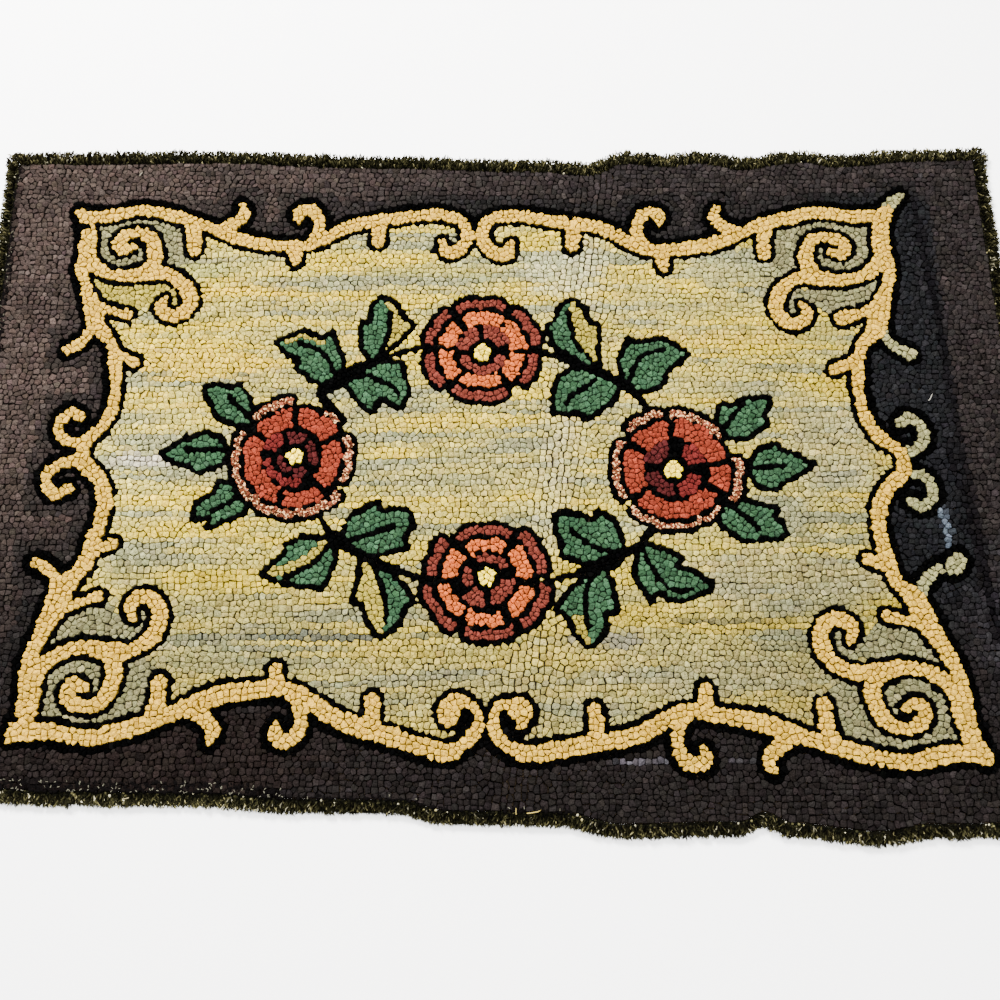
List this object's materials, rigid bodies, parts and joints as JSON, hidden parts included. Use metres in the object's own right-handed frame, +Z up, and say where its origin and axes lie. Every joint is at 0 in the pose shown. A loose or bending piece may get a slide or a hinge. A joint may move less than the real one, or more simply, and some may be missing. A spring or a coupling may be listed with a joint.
{
  "type": "hooked rug",
  "caption": "Rectangular hooked rug lying flat, with a low ridge from an old fold across it, an uneven hand-worked outline and short brush edging along every side.",
  "frame": {"origin": "on the floor under the middle of the rug", "axes": "+X along the long sides, +Y towards the far long side, +Z up from the floor"},
  "size_m": [1.0294, 0.692, 0.0137],
  "materials": {
    "wool_loops": "matte looped wool",
    "edging_yarn": "matte cut yarn"
  },
  "bodies": {
    "root": {"hooked_field": "wool_loops", "edging_far": "edging_yarn", "edging_near": "edging_yarn", "edging_left": "edging_yarn", "edging_right": "edging_yarn"}
  },
  "joints": []
}
